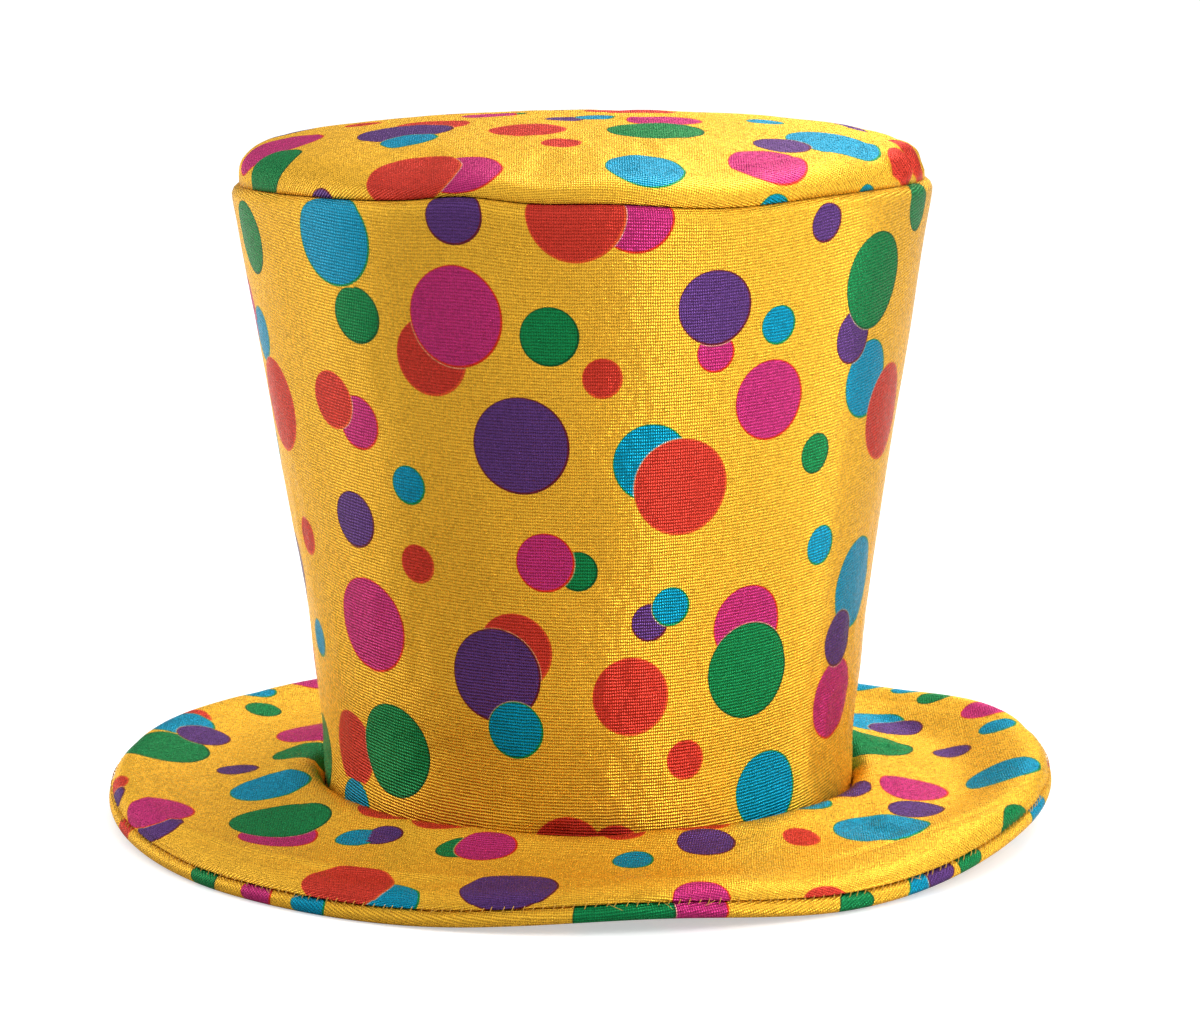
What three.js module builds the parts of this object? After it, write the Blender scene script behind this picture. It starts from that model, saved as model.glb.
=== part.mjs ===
// A clown's foam top hat, standing on its brim. Millimetres, +Z up.
// The origin is the middle of the brim, on the surface that the hat stands on.
// Azimuths are in degrees from the front (-Y) towards the right (+X).
//
// Four panels of foam-backed cloth, each a solid of its own:
//   brim_underside  lower layer of the brim, flat where it rests, with the edge band
//   brim_top        upper, fuller layer of the brim, rolled down to the rim seam
//   crown_wall      side of the crown, a hollow tube that widens upwards
//   tip             domed lid of the crown
import * as THREE from "three";

// Driving sizes.
const HEAD_OPENING = 188; // diameter inside the foot of the crown, for a 59 cm head
const WALL_FOAM = 6; // thickness of the crown's side
const CROWN_TOP = 260; // outside diameter of the crown at the tip seam
const TIP_SEAM_HEIGHT = 238; // height of the seam between side and tip
const TIP_RISE = 23.5; // from that seam to the top of the dome
const TIP_FOAM = 6; // thickness of the dome
const TIP_SETBACK = 3; // the tip's edge lies this far inside the side's edge
const BRIM = 356; // outside diameter of the brim
const BRIM_LOWER = 6; // thickness of the brim's lower layer, which is the edge band's height
const BRIM_UPPER = 7; // thickness of the brim's upper layer
const BRIM_SETBACK = 1.6; // the upper layer's edge lies this far inside the band
const RESTING = 280; // diameter of the flat ring that the brim rests on
const RIM_LIFT = 12; // the most that the floppy rim rises above its lowest place
const LEAN_BACK = 7.5; // the crown leans this far to the back at the tip seam
const LEAN_LEFT = 2.4; // and this far to the left, turning about its middle height
const CROWN_ASIDE = 2; // the crown is sewn on this far to the right of the brim's middle
const SEAM_WANDER = 3; // how far the tip seam strays from level
const SEAM_WANDER_FADE = 60; // that straying fades out this far down the side
const BACK_SEAM_PULL = 2; // depth of the valley that the back seam pulls into the side
const BACK_SEAM_FADE = 24; // that valley fades out over this height above the foot
const PUCKER = 4; // depth of the tucked crease in the tip's right-hand edge
const EDGE_ROUND = 4; // radius of the side's turned top edge
const GAP = 0.3; // between panels that touch
const SEGMENTS = 72; // facets round the hat

// Worked out from them.
const openingRadius = HEAD_OPENING / 2;
const footRadius = openingRadius + WALL_FOAM;
const topRadius = CROWN_TOP / 2;
const brimRadius = BRIM / 2;
const restingRadius = RESTING / 2;
const footHeight = BRIM_LOWER + GAP;
const wallHeight = TIP_SEAM_HEIGHT - footHeight;
const tipRadius = topRadius - TIP_SETBACK;
const upperInner = footRadius + GAP;
const upperOuter = brimRadius - BRIM_SETBACK;
const DEGREE = Math.PI / 180;

// The side's outline. up: share of its height, out: share of the way from foot to top radius.
const WALL_SECTIONS = [
  { up: 0, out: -0.04 },
  { up: 0.035, out: 0 },
  { up: 0.1, out: 0.01 },
  { up: 0.15, out: 0.035 },
  { up: 0.21, out: 0.1 },
  { up: 0.32, out: 0.19 },
  { up: 0.65, out: 0.585 },
  { up: 1, out: 1 },
];

// The edge band's outline. inset: how far in from the rim, up: height, both as shares of its height.
const BAND_SECTIONS = [
  { inset: 0.5, up: 0 },
  { inset: 0.15, up: 0.18 },
  { inset: 0, up: 0.5 },
  { inset: 0.08, up: 0.82 },
];

// The brim's upper surface. across: share of the layer's width, full: share of its thickness.
const UPPER_SECTIONS = [
  { across: 0, full: 0.35 },
  { across: 0.03, full: 0.8 },
  { across: 0.1, full: 1 },
  { across: 0.3, full: 0.97 },
  { across: 0.55, full: 0.9 },
  { across: 0.78, full: 0.97 },
  { across: 0.9, full: 0.94 },
  { across: 0.96, full: 0.74 },
  { across: 0.99, full: 0.42 },
  { across: 1, full: 0.12 },
];

// The rim's slow waves. at: azimuth, lift: share of RIM_LIFT.
const RIM_WAVES = [
  { at: -180, lift: 0.1 },
  { at: -120, lift: 0.5 },
  { at: -90, lift: 0.44 },
  { at: -67, lift: 0.16 },
  { at: -44, lift: 0 },
  { at: -20, lift: 0.02 },
  { at: 8, lift: 0.42 },
  { at: 33, lift: 0.06 },
  { at: 67, lift: 0.7 },
  { at: 101, lift: 1 },
  { at: 140, lift: 0.4 },
  { at: 180, lift: 0.1 },
];

// The tip seam's rise and fall. at: azimuth, lift: share of SEAM_WANDER.
const SEAM_WAVES = [
  { at: -180, lift: 0 },
  { at: -90, lift: 0 },
  { at: -54, lift: -0.3 },
  { at: -30, lift: 0 },
  { at: -19, lift: 0.7 },
  { at: -8, lift: 0.05 },
  { at: 5, lift: 0 },
  { at: 22, lift: -0.7 },
  { at: 45, lift: 0.1 },
  { at: 70, lift: 0.2 },
  { at: 110, lift: 0 },
  { at: 180, lift: 0 },
];

const PUCKER_AT = 66; // azimuth of the tucked crease
const PUCKER_SPREAD = 7; // degrees to either side
const BACK_SEAM_AT = 180;
const BACK_SEAM_SPREAD = 8;
const DOME_SQUARENESS = 0.3; // of the dome's sides: less is flatter on top with a tighter edge
const DOME_ROUNDNESS = 0.5; // of its front and back, where it is a half ellipse
const TIP_EDGE_FROM = 0.6; // waves and tucks of the tip's edge start at this share of its radius

// 0 to 1 with level ends, as x goes from a to b.
function ease(x, a, b) {
  const t = Math.min(1, Math.max(0, (x - a) / (b - a)));
  return t * t * (3 - 2 * t);
}

// A table's lift at an azimuth, eased from row to row.
function waveAt(table, azimuth) {
  const next = Math.max(
    1,
    table.findIndex((row) => row.at >= azimuth),
  );
  const [a, b] = [table[next - 1], table[next]];
  return a.lift + (b.lift - a.lift) * ease(azimuth, a.at, b.at);
}

// 1 at a place on the round, falling to 0 at spread degrees from it.
function nearAzimuth(azimuth, place, spread) {
  const away = Math.abs(((azimuth - place + 540) % 360) - 180);
  return 1 - ease(away, 0, spread);
}

// A closed section of [radius, height] points, turned round the Z axis and then shaped point by point.
// The shape also gets the section's own point, which may hold more than its radius and height.
function turned(name, colour, section, shape) {
  const profile = section.map(([r, z]) => new THREE.Vector2(r, z));
  const geometry = new THREE.LatheGeometry(profile, SEGMENTS);
  geometry.rotateX(Math.PI / 2);
  const place = geometry.getAttribute("position");
  const point = new THREE.Vector3();
  for (let i = 0; i < place.count; i++) {
    point.fromBufferAttribute(place, i);
    const radius = Math.hypot(point.x, point.y);
    const azimuth = radius > 0 ? Math.atan2(point.x, -point.y) / DEGREE : 0;
    const moved = shape(radius, azimuth, point.z, section[i % section.length]);
    place.setXYZ(i, moved.x, moved.y, moved.z);
  }
  geometry.computeVertexNormals();
  const cloth = new THREE.MeshStandardMaterial({
    color: colour,
    roughness: 0.5,
    metalness: 0,
  });
  const mesh = new THREE.Mesh(geometry, cloth);
  mesh.name = name;
  return mesh;
}

function polar(radius, azimuth, z) {
  const angle = azimuth * DEGREE;
  return new THREE.Vector3(
    radius * Math.sin(angle),
    -radius * Math.cos(angle),
    z,
  );
}

// The crown's lean: every level slides and, higher up, tips with the lean.
function leaned(point) {
  const share = (point.z - footHeight) / wallHeight;
  const tipping = (LEAN_BACK / wallHeight) * Math.min(1, share);
  return new THREE.Vector3(
    point.x + CROWN_ASIDE - LEAN_LEFT * (share - 0.5),
    point.y + LEAN_BACK * share,
    point.z - point.y * tipping,
  );
}

// The rim's lift at a place on either layer of the brim. The flat ring inside stays down,
// and the hole in the middle moves with the crown's foot.
function onBrim(radius, azimuth, z) {
  const rise = ease(radius, restingRadius, brimRadius);
  const point = polar(
    radius,
    azimuth,
    z + RIM_LIFT * waveAt(RIM_WAVES, azimuth) * rise,
  );
  const slide = CROWN_ASIDE + LEAN_LEFT / 2;
  point.x += slide * (1 - ease(radius, upperInner, restingRadius));
  return point;
}

// The radii that divide both layers of the brim where they meet, closest where the rim lifts most.
const risingRadii = [0, 0.3, 0.45, 0.6, 0.78].map(
  (share) => restingRadius + (upperOuter - restingRadius) * share,
);
const meetingRadii = [
  upperInner,
  (upperInner + restingRadius) / 2,
  ...risingRadii,
  upperOuter,
];

function brimUnderside() {
  const chamfer = BRIM_LOWER / 4;
  const section = [
    [openingRadius, chamfer],
    [openingRadius + chamfer, 0],
    ...risingRadii.map((r) => [r, 0]),
    ...BAND_SECTIONS.map(({ inset, up }) => [
      brimRadius - BRIM_LOWER * inset,
      BRIM_LOWER * up,
    ]),
    ...meetingRadii.map((r) => [r, BRIM_LOWER]).reverse(),
    [openingRadius, BRIM_LOWER],
    [openingRadius, chamfer],
  ];
  return turned("brim_underside", "#efc02c", section, onBrim);
}

function brimTop() {
  const width = upperOuter - upperInner;
  const section = [
    ...meetingRadii.map((r) => [r, footHeight]),
    ...UPPER_SECTIONS.map(({ across, full }) => [
      upperInner + width * across,
      footHeight + BRIM_UPPER * full,
    ]).reverse(),
    [upperInner, footHeight],
  ];
  return turned("brim_top", "#f2c52f", section, onBrim);
}

function crownWall() {
  const outer = WALL_SECTIONS.map(({ up, out }) => [
    footRadius + (topRadius - footRadius) * out,
    footHeight + wallHeight * up,
  ]);
  const [edgeRadius, edgeHeight] = outer.pop();
  const turnedEdge = [0, 30, 60, 90].map((angle) => [
    edgeRadius - EDGE_ROUND * (1 - Math.cos(angle * DEGREE)),
    edgeHeight - EDGE_ROUND * (1 - Math.sin(angle * DEGREE)),
  ]);
  const inner = [[edgeRadius, edgeHeight], ...outer.slice().reverse()].map(
    ([r, z]) => [r - WALL_FOAM, z],
  );
  inner[inner.length - 1][0] = openingRadius;
  const section = [...outer, ...turnedEdge, ...inner, outer[0]];
  const wanderFrom = TIP_SEAM_HEIGHT - SEAM_WANDER_FADE;
  return turned("crown_wall", "#eebb2a", section, (radius, azimuth, z) => {
    const pull =
      BACK_SEAM_PULL * nearAzimuth(azimuth, BACK_SEAM_AT, BACK_SEAM_SPREAD);
    const wander =
      SEAM_WANDER *
      waveAt(SEAM_WAVES, azimuth) *
      ease(z, wanderFrom, TIP_SEAM_HEIGHT);
    const free = ease(z, footHeight, footHeight + BACK_SEAM_FADE);
    return leaned(polar(radius - pull * free, azimuth, z + wander));
  });
}

// Half the dome's outline, from its edge to the axis. Each point also holds its share of the radius and
// the dome's rise, from which shapedDome works out its height.
function dome(radius, rise, shares) {
  return shares.map((share) => [
    radius * share,
    TIP_SEAM_HEIGHT + GAP + rise * (1 - share * share),
    share,
    rise,
  ]);
}

// The height at an azimuth: rise * (1 - share^2)^squareness.
function shapedDome(azimuth, share, rise) {
  const aside = Math.sin(azimuth * DEGREE) ** 2;
  const squareness =
    DOME_ROUNDNESS + (DOME_SQUARENESS - DOME_ROUNDNESS) * aside;
  return rise * (1 - share * share) ** squareness;
}

function tip() {
  const outside = dome(
    tipRadius,
    TIP_RISE - GAP,
    [1, 0.9985, 0.993, 0.98, 0.95, 0.88, 0.75, 0.55, 0.3, 0],
  );
  const inside = dome(
    tipRadius - TIP_FOAM,
    TIP_RISE - GAP - TIP_FOAM,
    [1, 0.993, 0.95, 0.8, 0.5, 0],
  );
  const section = [...inside.reverse(), ...outside];
  return turned("tip", "#f3c832", section, (radius, azimuth, z, point) => {
    const [, , share, rise] = point;
    const height = shapedDome(azimuth, share, rise);
    const up = height / (TIP_RISE - GAP);
    const outwards = ease(radius, tipRadius * TIP_EDGE_FROM, tipRadius);
    const wander =
      SEAM_WANDER * waveAt(SEAM_WAVES, azimuth) * (1 - up) * outwards;
    const tuck =
      PUCKER * nearAzimuth(azimuth, PUCKER_AT, PUCKER_SPREAD) * outwards;
    const level = TIP_SEAM_HEIGHT + GAP + height + wander;
    return leaned(polar(radius - tuck * ease(up, 0, 0.5), azimuth, level));
  });
}

const hat = new THREE.Group();
hat.add(brimUnderside(), brimTop(), crownWall(), tip());

export default hat;
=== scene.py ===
# A clown's foam top hat in printed yellow satin knit, standing on its brim, around its measured frame.
# Metres, +Z up. Azimuths are in degrees from the front (-Y) towards the right (+X).
import math

import bpy
import numpy as np
from mathutils import Euler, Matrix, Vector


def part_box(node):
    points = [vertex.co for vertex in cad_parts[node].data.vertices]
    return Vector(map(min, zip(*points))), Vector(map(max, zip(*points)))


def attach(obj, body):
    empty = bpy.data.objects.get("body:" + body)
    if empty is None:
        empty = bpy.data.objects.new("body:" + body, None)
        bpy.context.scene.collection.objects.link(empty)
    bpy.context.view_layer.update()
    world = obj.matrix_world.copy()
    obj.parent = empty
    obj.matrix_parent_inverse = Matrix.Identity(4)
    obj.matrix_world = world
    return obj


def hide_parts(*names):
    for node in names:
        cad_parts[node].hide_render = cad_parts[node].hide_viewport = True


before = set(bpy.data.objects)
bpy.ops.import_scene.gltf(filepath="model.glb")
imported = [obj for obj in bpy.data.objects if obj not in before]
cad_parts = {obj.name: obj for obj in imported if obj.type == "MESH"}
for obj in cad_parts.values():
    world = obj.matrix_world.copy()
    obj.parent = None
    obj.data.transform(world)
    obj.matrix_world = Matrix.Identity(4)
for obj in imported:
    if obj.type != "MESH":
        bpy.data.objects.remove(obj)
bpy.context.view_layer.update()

bl_info = {
    "name": "Foam clown top hat",
    "version": (1, 0, 0),
    "blender": (4, 5, 0),
    "location": "3D Viewport > Sidebar > Hat",
    "description": "Builds a padded top hat in printed satin knit, panel by panel",
    "category": "Add Mesh",
}

MM = 0.001
BRIM_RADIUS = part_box("brim_underside")[1].x
GAP = 0.3 * MM  # between panels that touch


def chart(columns, text):
    """A table with named columns and one row on each line, as a list of dicts. Numbers become floats."""
    rows = [line.split() for line in text.strip().splitlines()]
    return [
        {name: cell if cell[0].isalpha() else float(cell) for name, cell in zip(columns.split(), row)}
        for row in rows
    ]


def column(rows, name):
    return np.array([row[name] for row in rows])


# The side's outline. up: share of its height, out: share of the way from foot to top radius.
WALL_SECTIONS = chart("up out", """
    0 -0.04
    0.035 0
    0.1 0.01
    0.15 0.035
    0.21 0.1
    0.32 0.19
    0.65 0.585
    0.983 1
""")

# The brim's upper surface. across: share of the layer's width, full: share of its thickness.
UPPER_SECTIONS = chart("across full", """
    0 0.7
    0.02 1.1
    0.07 1.46
    0.14 1.5
    0.24 1.24
    0.36 1
    0.55 0.9
    0.78 0.97
    0.9 0.94
    0.96 0.74
    0.99 0.42
    1 0.12
""")

# The rim's slow waves. at: azimuth, lift: share of the greatest lift.
RIM_WAVES = chart("at lift", """
    -180 0.1
    -120 0.5
    -90 0.44
    -67 0.16
    -44 0
    -20 0.02
    8 0.42
    33 0.06
    67 0.7
    101 1
    140 0.4
    180 0.1
""")

# The tip seam's rise and fall. at: azimuth, lift: share of the greatest stray from level.
SEAM_WAVES = chart("at lift", """
    -180 0
    -120 -0.1
    -88 -0.6
    -54 -0.3
    -30 0
    -19 0.7
    -8 0.05
    5 0
    22 -0.7
    45 0.1
    70 0.2
    110 0
    180 0
""")

# How far the tip's padded edge bulges over the seam. at: azimuth, out: mm.
TIP_BULGE = chart("at out", """
    -180 1
    -90 0.2
    -40 0.4
    0 0.9
    30 2
    70 2.4
    95 1.7
    140 1.2
    180 1
""")

# Tucks where the tip was eased into its seam. at: azimuth, spread: degrees, deep and reach: mm.
TIP_TUCKS = chart("at spread deep reach", """
    57 5 1.6 26
    63.5 1.6 2.4 20
    68 2.2 -1.8 16
    71.5 1.3 2.2 18
    76 2 -1 12
    82 1.8 1.2 14
    92 20 1.5 45
    -33 2.5 0.5 10
    -14 3 0.8 12
    118 2 1.4 15
    163 2.4 1.2 14
    -150 2 1.1 13
""")

# Puckers along the rim seam. at: azimuth, spread: degrees, deep and reach: mm.
RIM_PUCKERS = chart("at spread deep reach", """
    -58 3 1 20
    -47 1.2 0.5 8
    -41 1.5 0.7 10
    -36 1.2 0.5 8
    -20 2 0.6 12
    5 1.5 0.8 12
    9.5 2.5 -0.8 14
    14 1.5 0.9 12
    24 2 0.6 10
    36 3 0.9 16
    52 3 0.7 18
    75 2 0.8 12
    100 2.5 0.9 14
    130 2 0.8 12
    165 2.5 1 14
    -165 2 0.7 12
    -130 2.5 0.9 14
    -100 2 0.6 12
""")

# The brim's upper layer slopes down to its seam over this width in mm, with a crisp edge at the top.
RIM_SLOPES = chart("at wide", """
    -180 8
    -120 9
    -82 9
    -61 17
    -34 25
    -20 30
    -6 30
    8 20
    24 10
    100 8
    180 8
""")

# A long crease beside the rim, with the foam rolled up outside it. at: azimuth, inwards and deep: mm.
RIM_CREASE = chart("at inwards deep", """
    -180 26 0.2
    -100 18 0.2
    -80 15 0
    -61 17 -0.6
    -34 25 -0.7
    -20 30 -0.6
    -4 30 0
    20 30 0
    30 30 0.6
    38 29.5 1.6
    46 28 1.9
    52 22.5 1.9
    62 15 1.6
    69 9 0.8
    76 8 0
    130 24 0.5
    180 26 0.2
""")

VALLEY_WIDE = 2.4 * MM
ROLL_WIDE = 5 * MM
ROLL_OUT = 7.5 * MM  # from the valley out to the roll
ROLL_HIGH = 0.7  # share of the valley's depth
SLOPE_LOW = 0.28  # where the rim's slope ends at the seam, as a share of the layer's thickness
RIM_PART = 12 * MM  # the part of the upper layer beside the rim that has finer rows
BRIM_UNEVEN = 1.6  # times as uneven as the crown
SEAM_FREE = 4 * MM  # over which moves of the cloth fade out towards a seam
FOOT_FREE = 6 * MM  # and towards the crown's foot on the brim

BACK_SEAM_SPREAD = 8  # degrees to either side
FOOT_FADE = 24 * MM  # over which moves of the side fade out towards its foot
TUCK_AT = -4  # azimuth of the foot's tuck
TUCK_SPREAD = 15  # degrees
TUCK_HIGH = 40 * MM

TIP_EDGE_FROM = 0.6  # waves of the tip's edge start at this share of its radius
TIP_EDGE_HIGH = 14 * MM  # the dome below this height has finer rows
BULGE_WIDE = 22 * MM  # of the tip's padded edge

# Dots on the crown's side. azimuth and height place the middle, across is the diameter in mm.
SIDE_DOTS = chart("azimuth height across ink layer", """
    -43 224 35 teal low
    -20 232 21 purple low
    -1 235 35 red mid
    8 235 28 magenta low
    41.5 229 14.5 purple low
    -71 220 28 green low
    -40 197 21 green low
    -21 198 35 magenta mid
    -26 184 28 red low
    -5.5 192.5 21 green low
    21.5 202.5 28 purple mid
    22 186 14.5 magenta low
    33.5 194.5 14.5 teal low
    56 206 35 green top
    51.5 187 20 purple mid
    58 170.5 29 teal low
    68.5 156 36 red mid
    3 178 14.5 red low
    33 168 29 magenta low
    -49 165 21.5 red mid
    -43 158 20 magenta low
    -71 158 35 red mid
    -75 183 21 teal low
    -11 154 35 purple low
    11.5 148 28 teal low
    17 139 35 red mid
    45 146.5 15 green low
    -33 137.5 14.5 teal low
    -47.5 122 21 purple low
    49.5 112 15 teal low
    -68 110 14.5 red low
    -33 109 14.5 red low
    -7.5 112.5 21.5 magenta mid
    -1.5 109.5 14.5 green low
    66 93 35 teal low
    61 74 21 purple mid
    -47 83.5 35 magenta low
    61.5 51.5 30 magenta low
    32.5 87 29 magenta low
    33.5 70 35 green mid
    -14 80 28 red low
    -18 71 34 purple mid
    -14.5 51.5 21 teal top
    16 96 14.5 teal mid
    12 90.5 14 purple low
    8.5 64 28.5 red low
    20 40 14.5 red low
    40 24.5 29 teal low
    -59 34 28 red low
    -44 38 34.5 green mid
    -59 13 20 teal low
    -70.5 71 14.5 teal low
    70 231 21 green low
    -85 190 28 magenta low
    -88 140 28 teal low
    -84 95 28 purple low
    -86 55 21 red low
    -80 25 28 green low
    96 213 28 teal low
    101 197 21 purple mid
    94 182 14.5 red low
    97 143 29 magenta low
    93 121 14.5 green mid
    98 92 35 purple low
    103 78 21 teal mid
    94 55 21 red low
    96 24 28 green low
    -4.5 7 27 red low
    5.5 7.5 20 red low
""")

# Dots on the tip, placed in plan: right of its middle and back from it, in mm.
TIP_DOTS = chart("right back across ink layer", """
    -111 -27 35 magenta low
    -114 -55 28 green mid
    -80 -2 14.5 red low
    -63 -44 35 purple mid
    -54 -31 28 red low
    -61 -63 21 teal top
    -59 -106 35 red mid
    -41 -111 28 magenta low
    -99 -96 14.5 purple low
    -34 -1 21 magenta mid
    -26 5 14.5 green low
    -6 -24 14.5 purple low
    5 -18 14.5 teal mid
    -19 -54 28 red low
    -7 -81 14.5 red low
    18 20 35 red low
    26.5 -55 35 green mid
    30 -28 28 magenta low
    22 -110 28 teal low
    67 -19 14.5 teal low
    90 -56 35 teal low
    71 -69 21 purple mid
    65 -94 28 magenta low
    72 -117 14.5 teal mid
    110 -85 14.5 teal low
    122 -31 21 red low
    117 -52 14.5 red mid
    -20 75 28 magenta low
    -32 62 21 purple mid
    40 70 35 teal low
    80 40 21 green low
    -85 50 28 green low
    -60 95 35 red mid
    10 105 21 purple low
    70 95 28 magenta low
    100 10 14.5 purple low
    -5 45 14.5 teal low
    -110 15 21 purple low
    -45 30 14.5 red low
""")

# Dots on the brim's upper layer, placed by azimuth and by mm in from the rim seam.
BRIM_DOTS = chart("azimuth inwards across ink layer", """
    -140 12 21 magenta low
    -130 12 14.5 teal low
    -125 27 14.5 green low
    -112 10 28 red low
    -109.5 15 28 teal mid
    -107 28.5 21 purple top
    -98 20.5 35 green low
    -116 68 35 magenta low
    -98 75 28 green mid
    -89.5 51 14.5 purple low
    -75 61 28 teal low
    -56.5 50 35 green mid
    -50 40 28 magenta low
    -68.5 15.5 28 magenta mid
    -63.5 10 21 purple low
    -78 2 14.5 purple mid
    -81 1 21 red low
    -45 84 28 red low
    -30 84 28 red low
    -40 56 14.5 teal low
    -37 61 14.5 purple low
    -21.5 59 14.5 green low
    -17 62 21 magenta mid
    -28.5 13 32 red mid
    -23 5 28 teal low
    -8.5 17 33 purple low
    8 53 14.5 teal low
    7 76 14.5 red low
    21 61.5 21 purple mid
    22 84 28 red low
    38 54.5 14.5 red low
    50 80 21 teal low
    66 78 21 purple low
    13.5 1 21 magenta low
    28.5 -4 21 red low
    51.5 43.5 35 teal low
    63.5 44.5 21 purple mid
    74 53.5 28 magenta top
    122.5 46 28 teal low
    117 42 21 purple mid
    104 67 35 green low
    98 37 14.5 purple low
    80 21.5 28 teal low
    97 -3 21 purple low
    101.5 17 14.5 teal mid
    110 11.5 21 magenta low
    122 14.5 14.5 green low
    129 11 14.5 teal low
    137 11 21 teal low
    62.5 -5 28 green low
    -160 56 28 teal low
    -176 26 35 magenta low
    169 12 21 green mid
    150 41 28 red low
    165 64 14.5 purple low
    -152 38 21 purple low
    148 7 28 purple low
    -155 8 28 red low
    178 54 14.5 green low
    138 64 21 magenta low
    -136 64 21 red low
""")

# Dots on the band, placed by azimuth and by mm down from the rim seam.
BAND_DOTS = chart("azimuth down across ink layer", """
    -48.5 3 14.5 green low
    -39.5 3.5 14.5 magenta low
    -32 3.5 14.5 teal low
    -70 2 14.5 red low
    -95 2 14.5 red low
    -112 5 21 purple low
    4.8 5 35 green mid
    12 3.5 28 magenta low
    32.5 5 14.5 green low
    43.5 6 21 teal low
    45.5 2.5 14.5 purple mid
    51 2 14.5 green low
    71 4 21 teal low
    90 4 21 magenta low
    110 6 28 green low
    130 3 14.5 red low
    150 5 21 teal low
    175 3 28 magenta low
    -130 5 28 teal low
    -155 4 21 green low
""")

# Dots under the brim, placed by azimuth and by radius in mm. The chart is repeated round the hat.
UNDER_DOTS = chart("azimuth radius across ink layer", """
    0 120 35 purple low
    24 142 21 red low
    19 116 14.5 teal low
    42 128 28 magenta low
    52 150 29 green mid
    61 118 21 green low
    74 140 35 teal low
""")
UNDER_TURNS = (0, 90, 180, 270)

BACK_NARROWED = 0.97  # the back's dots stand this much closer
BACK_DOTS_FROM, BACK_DOTS_TO = 97, 172  # degrees from the front
TURNED_HEIGHT = 244  # mm, the sum of a dot's height and that of its copy at the back

INKS = ("magenta", "red", "purple", "green", "teal")
LAYERS = ("low", "mid", "top")


class HatSizes(bpy.types.PropertyGroup):
    """Sizes of the hat's four panels."""

    opening: bpy.props.FloatProperty(
        name="Head opening", description="Diameter inside the crown's foot", default=0.188, unit="LENGTH")
    wall_foam: bpy.props.FloatProperty(
        name="Side foam", description="Thickness of the crown's side", default=0.006, unit="LENGTH")
    crown_top: bpy.props.FloatProperty(
        name="Crown top", description="Outside diameter at the tip seam", default=0.26, unit="LENGTH")
    seam_height: bpy.props.FloatProperty(
        name="Seam height", description="Height of the tip seam", default=0.238, unit="LENGTH")
    edge_round: bpy.props.FloatProperty(
        name="Edge round", description="Radius of the side's turned top edge", default=0.004, unit="LENGTH")
    tip_rise: bpy.props.FloatProperty(
        name="Tip rise", description="From the tip seam to the dome's top", default=0.0235, unit="LENGTH")
    tip_foam: bpy.props.FloatProperty(
        name="Tip foam", description="Thickness of the dome", default=0.006, unit="LENGTH")
    tip_setback: bpy.props.FloatProperty(
        name="Tip setback", description="From the side's edge in to the tip's", default=0.003, unit="LENGTH")
    squareness: bpy.props.FloatProperty(
        name="Dome squareness", description="Of its sides: less is flatter with a tighter edge", default=0.3)
    roundness: bpy.props.FloatProperty(
        name="Dome roundness", description="Of its front and back: 0.5 is a half ellipse", default=0.5)
    brim_lower: bpy.props.FloatProperty(
        name="Lower brim", description="Thickness of the brim's lower layer", default=0.006, unit="LENGTH")
    brim_upper: bpy.props.FloatProperty(
        name="Upper brim", description="Thickness of the brim's upper layer", default=0.007, unit="LENGTH")
    brim_setback: bpy.props.FloatProperty(
        name="Brim setback", description="From the band in to the layer", default=0.0016, unit="LENGTH")
    resting: bpy.props.FloatProperty(
        name="Resting ring", description="Diameter that lies flat on the floor", default=0.28, unit="LENGTH")
    rim_lift: bpy.props.FloatProperty(
        name="Rim lift", description="The most that the floppy rim rises", default=0.012, unit="LENGTH")
    lean_back: bpy.props.FloatProperty(
        name="Lean back", description="The crown's lean at the tip seam", default=0.0075, unit="LENGTH")
    lean_left: bpy.props.FloatProperty(
        name="Lean left", description="The crown's lean to the left", default=0.0024, unit="LENGTH")
    aside: bpy.props.FloatProperty(
        name="Crown aside", description="To the right of the brim's middle", default=0.002, unit="LENGTH")
    seam_wander: bpy.props.FloatProperty(
        name="Seam wander", description="How far the seam strays from level", default=0.003, unit="LENGTH")
    seam_fade: bpy.props.FloatProperty(
        name="Wander fade", description="Height over which that fades", default=0.06, unit="LENGTH")
    foot_tuck: bpy.props.FloatProperty(
        name="Foot tuck", description="How far the front of the foot goes in", default=0.0035, unit="LENGTH")
    back_pull: bpy.props.FloatProperty(
        name="Back seam pull", description="Depth of the back seam's valley", default=0.002, unit="LENGTH")
    uneven: bpy.props.FloatProperty(
        name="Unevenness", description="How far the foam strays", default=0.0005, unit="LENGTH")
    cell: bpy.props.FloatProperty(
        name="Cell", description="Size of the mesh cells on the cloth", default=0.002, unit="LENGTH")


class HatInks(bpy.types.PropertyGroup):
    """Colours of the printed cloth, as sRGB hex values."""

    yellow: bpy.props.StringProperty(name="Yellow", description="Ground of the print", default="#F2B935")
    magenta: bpy.props.StringProperty(name="Magenta", description="Dots", default="#BE3074")
    red: bpy.props.StringProperty(name="Red", description="Dots", default="#CB3A2E")
    purple: bpy.props.StringProperty(name="Purple", description="Dots", default="#5A3878")
    green: bpy.props.StringProperty(name="Green", description="Dots", default="#108048")
    teal: bpy.props.StringProperty(name="Teal", description="Dots", default="#0090B4")
    foam: bpy.props.StringProperty(name="Foam", description="Bare back of the foam", default="#E6DFC4")
    thread: bpy.props.StringProperty(name="Thread", description="Sewing thread", default="#CF9A2A")


class HatKnit(bpy.types.PropertyGroup):
    """Spacing of the knit's stitches."""

    row: bpy.props.FloatProperty(
        name="Row", description="Height of one row of stitches", default=0.00115, unit="LENGTH")
    rib: bpy.props.FloatProperty(
        name="Rib", description="Width of one stitch", default=0.00085, unit="LENGTH")
    relief: bpy.props.FloatProperty(
        name="Relief", description="Height of the stitches", default=0.00026, unit="LENGTH")


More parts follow.
